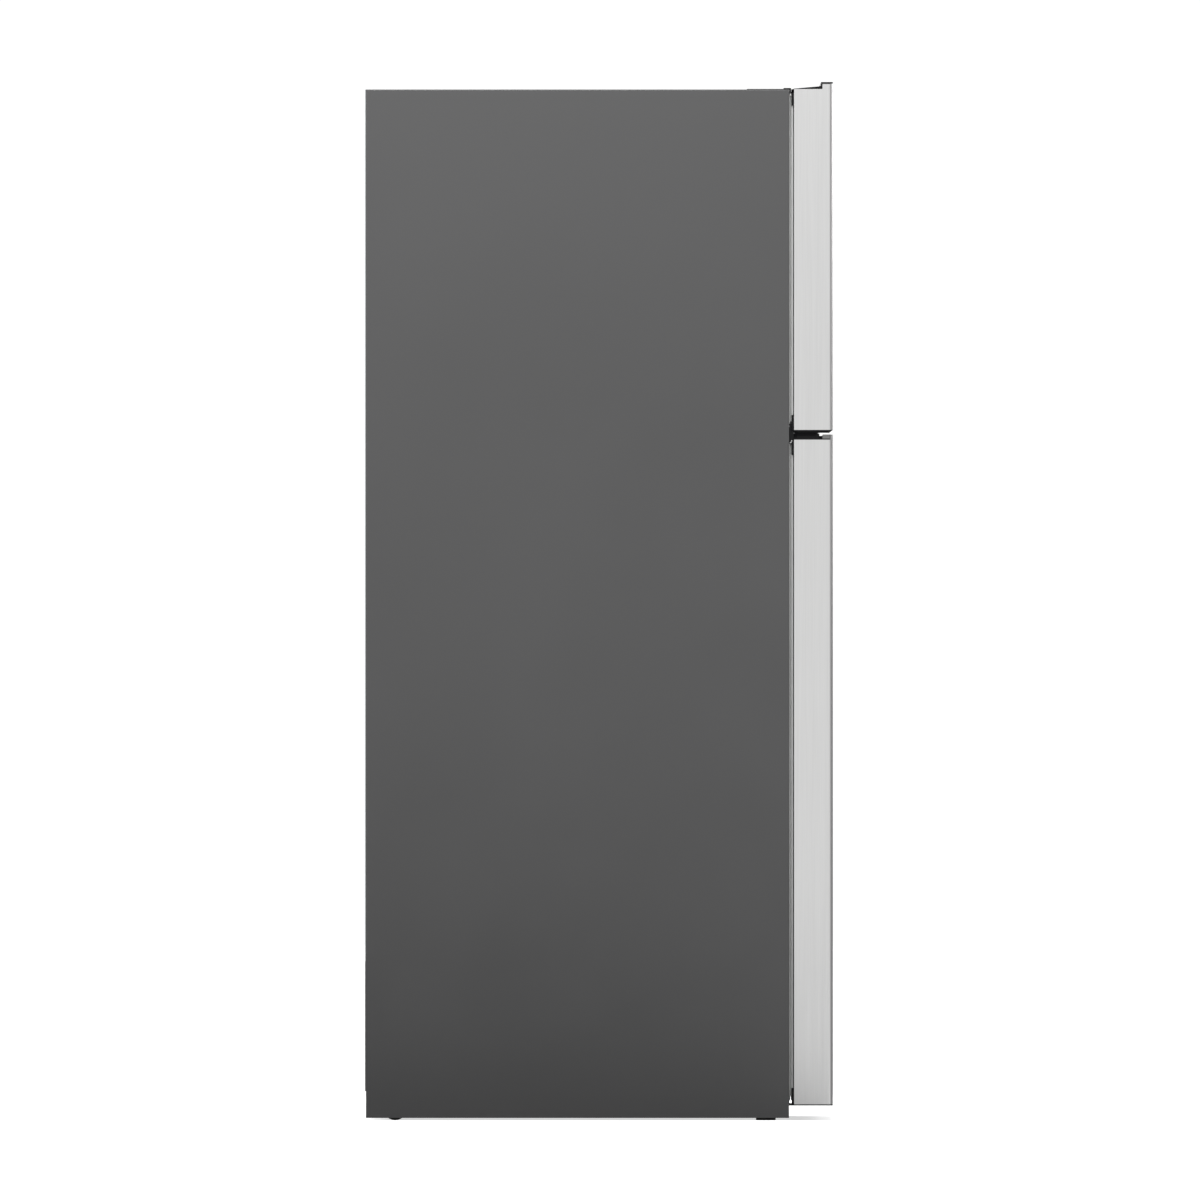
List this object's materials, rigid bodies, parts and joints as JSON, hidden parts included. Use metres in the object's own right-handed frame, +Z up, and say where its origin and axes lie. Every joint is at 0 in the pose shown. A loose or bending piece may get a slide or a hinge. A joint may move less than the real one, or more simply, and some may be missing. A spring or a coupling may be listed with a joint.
{
  "type": "top freezer refrigerator",
  "caption": "Tall two-door refrigerator with the freezer on top: dark grey cabinet, light stainless doors with black end caps, shelves, drawers and door bins inside.",
  "frame": {"origin": "centre of the footprint of the closed refrigerator, on the floor", "axes": "+Z up, -Y out of the doors, +X towards the hinge side, which is on the right when facing the doors"},
  "size_m": [0.71, 0.757, 1.68],
  "materials": {
    "grey_paint": "semi-gloss dark grey powder paint with a fine orange-peel grain",
    "stainless": "light fingerprint-resistant stainless sheet, fine vertical brushing",
    "liner_white": "vacuum-formed white liner, soft sheen",
    "trim_black": "black moulded end caps and trims, fine texture",
    "seal_grey": "light grey magnetic door seal with moulded grooves",
    "galvanised": "zinc-coated sheet",
    "foam": "poured cream rigid insulating foam",
    "clear_plastic": "clear moulded polystyrene",
    "shelf_glass": "tempered glass with a pale green edge",
    "hinge_steel": "black painted steel plate",
    "machine_black": "black enamelled steel shell",
    "copper_tube": "drawn copper tube, slightly tarnished",
    "coil_aluminium": "drawn aluminium tube",
    "tyre_grey": "hard moulded feet and roller wheels"
  },
  "bodies": {
    "cabinet": {"cabinet_wrapper": "grey_paint", "back_panel": "galvanised", "insulation_foam": "foam", "freezer_liner": "liner_white", "fridge_liner": "liner_white", "mullion_plate": "grey_paint", "top_hinge": "hinge_steel", "top_hinge_cover": "trim_black", "centre_hinge": "hinge_steel", "bottom_hinge": "hinge_steel", "corner_cap": "trim_black", "base_pan": "galvanised", "compressor": "machine_black", "relay_cover": "trim_black", "condenser_coil": "copper_tube", "fan_bracket": "galvanised", "drain_pan": "trim_black", "machine_cover": "galvanised", "evaporator_cover": "liner_white", "evaporator_coil": "coil_aluminium", "freezer_shelf": "shelf_glass", "ice_frame": "liner_white", "air_duct": "liner_white", "fridge_shelf_1": "shelf_glass", "fridge_shelf_2": "shelf_glass", "fridge_shelf_3": "shelf_glass", "crisper_cover": "shelf_glass", "control_housing": "liner_white", "light_lens": "clear_plastic"},
    "freezer_switch": {"freezer_switch": "liner_white"},
    "fridge_switch": {"fridge_switch": "liner_white"},
    "leg_left": {"leg_left": "tyre_grey"},
    "leg_right": {"leg_right": "tyre_grey"},
    "roller_left": {"roller_left": "tyre_grey"},
    "roller_right": {"roller_right": "tyre_grey"},
    "condenser_fan": {"condenser_fan": "trim_black"},
    "evaporator_fan": {"evaporator_fan": "trim_black"},
    "ice_trays": {"ice_trays": "clear_plastic"},
    "ice_bin": {"ice_bin": "clear_plastic"},
    "crisper_left": {"crisper_left": "clear_plastic"},
    "crisper_right": {"crisper_right": "clear_plastic"},
    "temperature_dial": {"temperature_dial": "trim_black"},
    "dairy_lid": {"dairy_lid": "clear_plastic"},
    "freezer_door": {"freezer_door_skin": "stainless", "freezer_door_top_cap": "trim_black", "freezer_door_bottom_cap": "trim_black", "freezer_door_foam": "foam", "freezer_door_liner": "liner_white", "freezer_gasket": "seal_grey", "freezer_bin_lower": "clear_plastic", "freezer_bin_upper": "clear_plastic"},
    "fridge_door": {"fridge_door_skin": "stainless", "fridge_door_top_cap": "trim_black", "fridge_door_bottom_cap": "trim_black", "fridge_door_foam": "foam", "fridge_door_liner": "liner_white", "fridge_gasket": "seal_grey", "fridge_bin_lower": "clear_plastic", "fridge_bin_middle": "clear_plastic", "dairy_bin": "clear_plastic"}
  },
  "joints": [
    {"name": "freezer_door_hinge", "type": "hinge", "parent": "cabinet", "child": "freezer_door", "pos_m": [0.345, -0.3295, 1.39], "axis": [0, 0, 1], "range_deg": [0, 120]},
    {"name": "fridge_door_hinge", "type": "hinge", "parent": "cabinet", "child": "fridge_door", "pos_m": [0.345, -0.3295, 0.56], "axis": [0, 0, 1], "range_deg": [0, 120]},
    {"name": "dairy_lid_hinge", "type": "hinge", "parent": "fridge_door", "child": "dairy_lid", "pos_m": [0, -0.3, 0.989], "axis": [1, 0, 0], "range_deg": [0, 60]},
    {"name": "crisper_left_slide", "type": "slide", "parent": "cabinet", "child": "crisper_left", "axis": [0, -1, 0], "range_m": [0, 0.21]},
    {"name": "crisper_right_slide", "type": "slide", "parent": "cabinet", "child": "crisper_right", "axis": [0, -1, 0], "range_m": [0, 0.21]},
    {"name": "ice_bin_slide", "type": "slide", "parent": "cabinet", "child": "ice_bin", "axis": [0, -1, 0], "range_m": [0, 0.2]},
    {"name": "freezer_switch_travel", "type": "slide", "parent": "cabinet", "child": "freezer_switch", "axis": [0, -1, 0], "range_m": [0, 0.006]},
    {"name": "fridge_switch_travel", "type": "slide", "parent": "cabinet", "child": "fridge_switch", "axis": [0, -1, 0], "range_m": [0, 0.006]},
    {"name": "temperature_dial_turn", "type": "hinge", "parent": "cabinet", "child": "temperature_dial", "pos_m": [0.07, -0.165, 1.059], "axis": [0, 1, 0], "range_deg": [0, 270]},
    {"name": "ice_tray_twist", "type": "hinge", "parent": "cabinet", "child": "ice_trays", "pos_m": [-0.2105, -0.05, 1.4993], "axis": [0, 1, 0], "range_deg": [0, 110], "stiffness_Nm_per_rad": 0.4},
    {"name": "evaporator_fan_spin", "type": "hinge", "parent": "cabinet", "child": "evaporator_fan", "pos_m": [0, 0.278, 1.52], "axis": [0, 1, 0], "continuous": true},
    {"name": "condenser_fan_spin", "type": "hinge", "parent": "cabinet", "child": "condenser_fan", "pos_m": [-0.04, 0.2755, 0.152], "axis": [1, 0, 0], "continuous": true},
    {"name": "roller_left_spin", "type": "hinge", "parent": "cabinet", "child": "roller_left", "pos_m": [-0.3, 0.33, 0.02], "axis": [1, 0, 0], "continuous": true},
    {"name": "roller_right_spin", "type": "hinge", "parent": "cabinet", "child": "roller_right", "pos_m": [0.3, 0.33, 0.02], "axis": [1, 0, 0], "continuous": true},
    {"name": "leg_left_turn", "type": "hinge", "parent": "cabinet", "child": "leg_left", "pos_m": [-0.3, -0.27, 0.02], "axis": [0, 0, 1], "continuous": true},
    {"name": "leg_right_turn", "type": "hinge", "parent": "cabinet", "child": "leg_right", "pos_m": [0.3, -0.27, 0.02], "axis": [0, 0, 1], "continuous": true}
  ],
  "couplings": [
    {"joint": "crisper_left_slide", "follows": "fridge_door_hinge", "m_per_rad": 0.1002},
    {"joint": "crisper_right_slide", "follows": "fridge_door_hinge", "m_per_rad": 0.1002},
    {"joint": "fridge_switch_travel", "follows": "fridge_door_hinge", "m_per_rad": 0.00286},
    {"joint": "freezer_switch_travel", "follows": "freezer_door_hinge", "m_per_rad": 0.00286},
    {"joint": "ice_bin_slide", "follows": "freezer_door_hinge", "m_per_rad": 0.0954}
  ]
}
